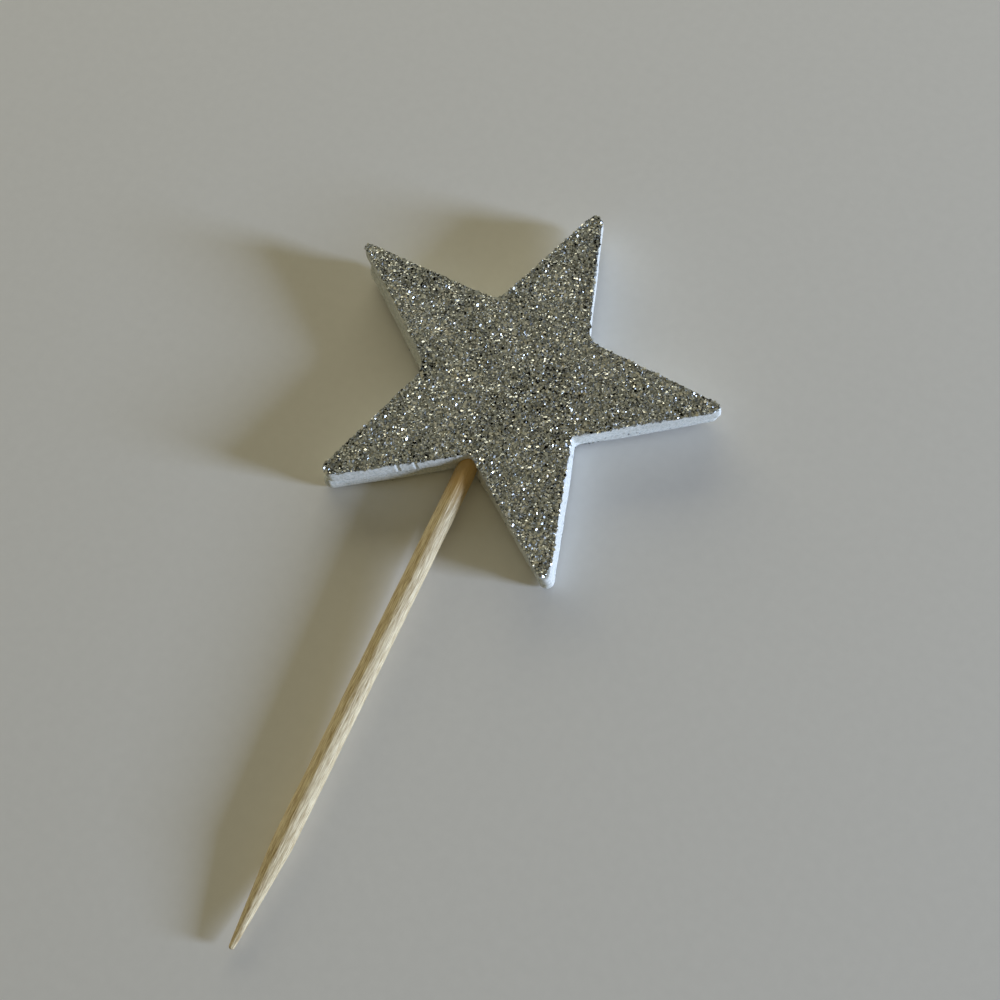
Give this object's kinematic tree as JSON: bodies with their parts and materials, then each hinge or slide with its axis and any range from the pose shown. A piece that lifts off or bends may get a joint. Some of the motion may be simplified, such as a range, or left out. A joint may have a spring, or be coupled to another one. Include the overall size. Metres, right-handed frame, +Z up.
{
  "type": "cake topper",
  "caption": "Silver glitter foam star doubled over a slim wooden pick, pushed into a cake or cupcake as a decoration.",
  "frame": {"origin": "centre of the star on the back face that it lies on", "axes": "+Z up out of the star's front face, +Y towards the star's top point; the pick leaves towards -Y"},
  "size_m": [0.0458, 0.0898, 0.004],
  "materials": {
    "birch": "pale unvarnished birch with fine long grain",
    "white_foam": "white closed-cell EVA foam, cut edge",
    "silver_glitter": "silver glitter: small aluminised polyester flakes in a clear binder",
    "clear_glue": "clear craft glue, set"
  },
  "bodies": {
    "root": {"pick": "birch", "front_foam": "white_foam", "front_glitter": "silver_glitter", "back_foam": "white_foam", "back_glitter": "silver_glitter", "glue": "clear_glue"}
  },
  "joints": []
}
